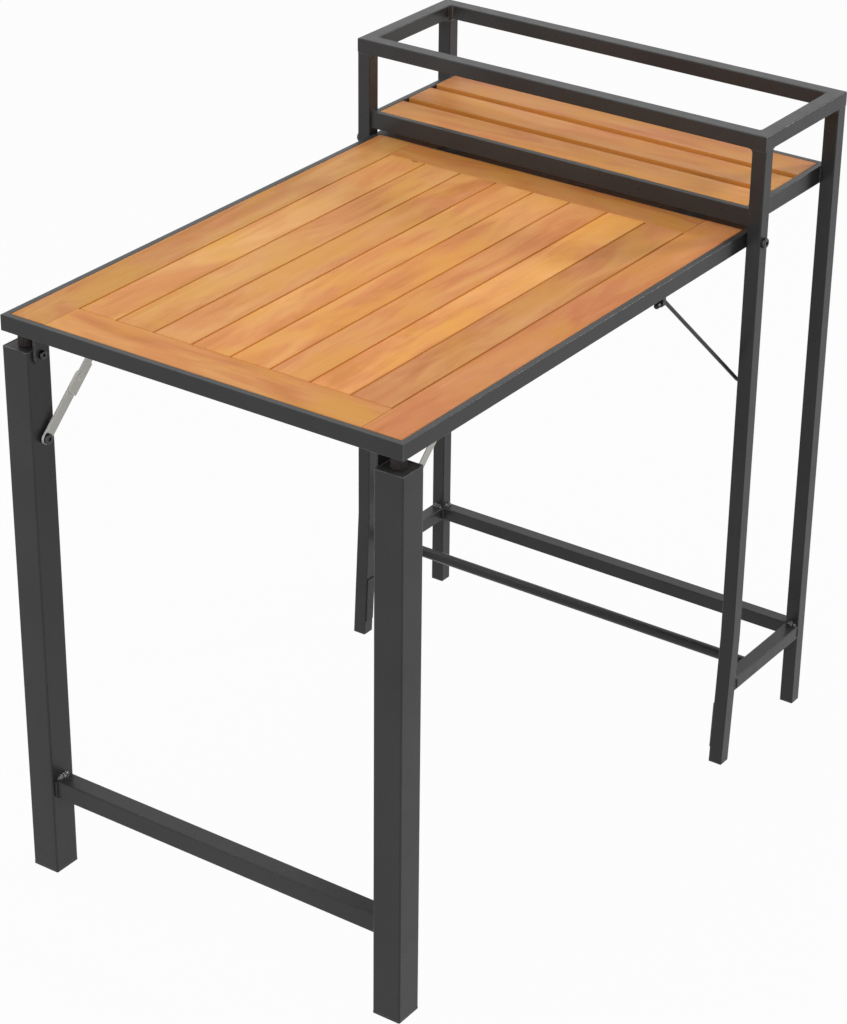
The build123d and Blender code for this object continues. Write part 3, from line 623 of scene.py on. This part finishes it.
def leg_cap_finish(top_height):
    """Black plastic on the foot plugs, and the legs' own coat on the plates at the top, with a
    painted highlight along the plates' edges.
    """
    made = moulded_plastic("leg_cap_plastic", CAP_BLACK)
    tree = made.node_tree
    shader = tree.nodes["Principled BSDF"]
    height = tree.nodes.new("ShaderNodeSeparateXYZ")
    place = tree.nodes["Texture Coordinate"].outputs["Object"]
    tree.links.new(place, height.inputs["Vector"])
    on_top = spread(tree, height.outputs["Z"], top_height / 3, top_height / 2, 0.0, 1.0)
    plastic = shader.inputs["Base Color"].links[0].from_socket
    colour = blended(tree, on_top, plastic, COAT_GREY)
    # A painted highlight along the top plates' edges.
    rim_highlight = joined(tree, "MULTIPLY", near_edge(tree, PLATE_HIGHLIGHT_WIDTH), on_top)
    colour = blended(tree, rim_highlight, colour, toned(COAT_GREY, 3.0, PLATE_HIGHLIGHT_LIFT))
    tree.links.new(colour, shader.inputs["Base Color"])
    return made


dress(["leg_caps"], leg_cap_finish(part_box("leg_right")[1].z))
leg_runs = []
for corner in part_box("leg_cross_rail"):
    all_round = ("top", "bottom", "front", "back")
    leg_runs += around_end_x("leg_cross_rail", corner.x, CROSS_RAIL_INSET, all_round)
weld_all("leg", leg_runs, "front_legs", leg_coat, 23)


# Buffers: ribbed rubber domes on the legs' top caps, that the tabletop rests on. They
# are moulded in a brown-black rubber, dull, with a dusty bloom.
RUBBER_BROWN = (0.024, 0.018, 0.016)
RUBBER_BLOOM = (0.075, 0.06, 0.052)


def buffer_finish():
    """Dull brown-black rubber with a pale bloom."""
    made, tree, shader, place = start_finish("buffer_rubber")
    bloom = spread(tree, cloud(tree, place, 260.0, 5.0, 0.65), 0.48, 0.72, 0.0, 0.45)
    tree.links.new(blended(tree, bloom, RUBBER_BROWN, RUBBER_BLOOM), shader.inputs["Base Color"])
    dull = spread(tree, cloud(tree, place, 420.0, 3.0), 0.3, 0.7, 0.58, 0.76)
    tree.links.new(dull, shader.inputs["Roughness"])
    relief(tree, shader, cloud(tree, place, 1400.0, 3.0), 0.00008, 0.6)
    return made


dress(["leg_buffers"], buffer_finish())


# Elbow stays: steel strip cut on the shear and zinc plated, an upper arm that widens to a
# cover plate and a lower flat bar, which meet at a riveted elbow. The plating has gone dull
# and warm on the faces; the cut edges are painted near white, part bare steel, part painted
# highlight.
STAY_DULL = (0.40, 0.395, 0.36)
# Near white on the strip's edges: part bare steel, part painted highlight.
STAY_HIGHLIGHT = (0.95, 0.95, 0.93)
STAY_HIGHLIGHT_WIDTH = 0.0009


def stay_finish():
    """Zinc strip: faces gone dull and warm, and the strip's edges and arrises painted near white,
    part bare steel and part painted highlight.
    """
    made = plated_steel("stay_zinc", STAY_DULL, 0.30, 34.0)
    tree = made.node_tree
    shader = tree.nodes["Principled BSDF"]
    across = facing(tree, "X")
    # Faces that do not look along X, the strip's edges, are painted near white and made less
    # metallic: part bare steel, part painted highlight.
    cut_edge_and_highlight = spread(tree, across, 0.6, 0.2, 0.0, 1.0)
    dull = shader.inputs["Base Color"].links[0].from_socket
    colour = blended(tree, cut_edge_and_highlight, dull, STAY_HIGHLIGHT)
    # A thin painted highlight along every edge, the cover plate's and the rivet's too.
    painted_arris = spread(tree, near_edge(tree, STAY_HIGHLIGHT_WIDTH), 0.2, 1.0, 0.0, 0.9)
    colour = blended(tree, painted_arris, colour, STAY_HIGHLIGHT)
    tree.links.new(colour, shader.inputs["Base Color"])
    tree.links.new(spread(tree, across, 0.6, 0.2, 1.0, 0.1), shader.inputs["Metallic"])
    return made


stay_zinc = stay_finish()
dress(["stay_upper_right", "stay_upper_left", "stay_lower_right", "stay_lower_left"], stay_zinc)


# Brace rods: 5 mm wire, bent at both ends, hung in lugs under the side rails. They are
# coated as the tubes are, and look darker.
dress(["brace_rod_right", "brace_rod_left"], powder_coat("rod_coat", toned(COAT_GREY, 0.6)))


# Floor and light: a plain white floor that keeps a soft shadow, a white surround, one
# wide softbox overhead, a weak one in front, and one behind that lights the edges.
FLOOR_REACH = 20
FLOOR_DROP = -0.0006
FLOOR_WHITE = 0.97
ROOM_LIGHT = 0.22


def seen_directly(tree):
    """1 where the eye, a reflection or clear glass looks, and 0 for light that falls."""
    rays = tree.nodes.new("ShaderNodeLightPath").outputs
    looks = joined(tree, "MAXIMUM", rays["Is Camera Ray"], rays["Is Glossy Ray"])
    return joined(tree, "MAXIMUM", looks, rays["Is Transmission Ray"])


def mixed_light(tree, share, under, over, end):
    """Two shaders mixed by a share, and joined to the end of the tree."""
    mixed = tree.nodes.new("ShaderNodeMixShader")
    tree.links.new(share, mixed.inputs["Fac"])
    tree.links.new(under, mixed.inputs[1])
    tree.links.new(over, mixed.inputs[2])
    tree.links.new(mixed.outputs["Shader"], tree.nodes[end].inputs["Surface"])


def floor_finish():
    """White floor: pale to the camera, with the shadow left in it."""
    made, tree, shader, _ = start_finish("studio_floor")
    shader.inputs["Base Color"].default_value = (0.5, 0.5, 0.5, 1)
    shader.inputs["Roughness"].default_value = 0.9
    shader.inputs["Specular IOR Level"].default_value = 0.1
    glow = tree.nodes.new("ShaderNodeEmission").outputs["Emission"]
    share = spread(tree, seen_directly(tree), 0.0, 1.0, 0.0, FLOOR_WHITE)
    mixed_light(tree, share, shader.outputs["BSDF"], glow, "Material Output")
    return made


floor_mesh = bpy.data.meshes.new("studio_floor")
turns = ((-1, -1), (1, -1), (1, 1), (-1, 1))
floor_corners = [(x * FLOOR_REACH, y * FLOOR_REACH, FLOOR_DROP) for x, y in turns]
floor_mesh.from_pydata(floor_corners, [], [(0, 1, 2, 3)])
floor_mesh.materials.append(floor_finish())
floor = bpy.data.objects.new("studio_floor", floor_mesh)
scene.collection.objects.link(floor)

surround = bpy.data.worlds.new("studio")
surround.use_nodes = True
scene.world = surround
sky = surround.node_tree
lit = sky.nodes["Background"]
shown = sky.nodes.new("ShaderNodeBackground")
for glow, strength in ((lit, ROOM_LIGHT), (shown, 1.0)):
    glow.inputs["Color"].default_value = (1, 1, 1, 1)
    glow.inputs["Strength"].default_value = strength
room, white = lit.outputs["Background"], shown.outputs["Background"]
mixed_light(sky, seen_directly(sky), room, white, "World Output")


def softbox(name, place, aim, size, watts):
    """A square area lamp that faces a point."""
    lamp = bpy.data.lights.new(name, "AREA")
    lamp.shape = "SQUARE"
    lamp.size = size
    lamp.energy = watts
    box = bpy.data.objects.new(name, lamp)
    box.location = place
    box.rotation_euler = (Vector(aim) - Vector(place)).to_track_quat("-Z", "Y").to_euler()
    scene.collection.objects.link(box)


softbox("overhead_softbox", (-0.5, -0.4, 2.7), (0, 0, 0.5), 2.2, 30)
softbox("front_softbox", (0.6, -3.0, 1.5), (0, 0, 0.5), 1.8, 20)
softbox("edge_softbox", (1.75, 2.6, 2.25), (0, 0, 0.6), 0.5, 38)


# Camera: stands where the photograph was taken from, well above the tabletop and to the
# right, with a long lens. The frame is 847 x 1024, and the lens is set by its height.
FRAME_WIDTH, FRAME_HEIGHT = 847, 1024
SENSOR_HEIGHT = 36
FOCAL_PIXELS = 2999.472
AXIS_X, AXIS_Y = 444.836, 547.311
CAMERA_PLACE = (1.8855784, -2.7197249, 2.1297656)
view = bpy.data.cameras.new("photo_camera")
view.sensor_fit = "VERTICAL"
view.sensor_height = SENSOR_HEIGHT
view.lens = FOCAL_PIXELS / FRAME_HEIGHT * SENSOR_HEIGHT
view.shift_x = (FRAME_WIDTH / 2 - AXIS_X) / FRAME_HEIGHT
view.shift_y = (AXIS_Y - FRAME_HEIGHT / 2) / FRAME_HEIGHT
camera = bpy.data.objects.new("photo_camera", view)
across = Vector((0.8208161, 0.5710479, 0.0128507))
down = Vector((0.2813071, -0.3845617, -0.879192))
ahead = Vector((-0.4971189, 0.72527, -0.4762943))
turn = Matrix((across, -down, -ahead)).transposed().to_4x4()
camera.matrix_world = Matrix.Translation(CAMERA_PLACE) @ turn
scene.collection.objects.link(camera)
scene.camera = camera
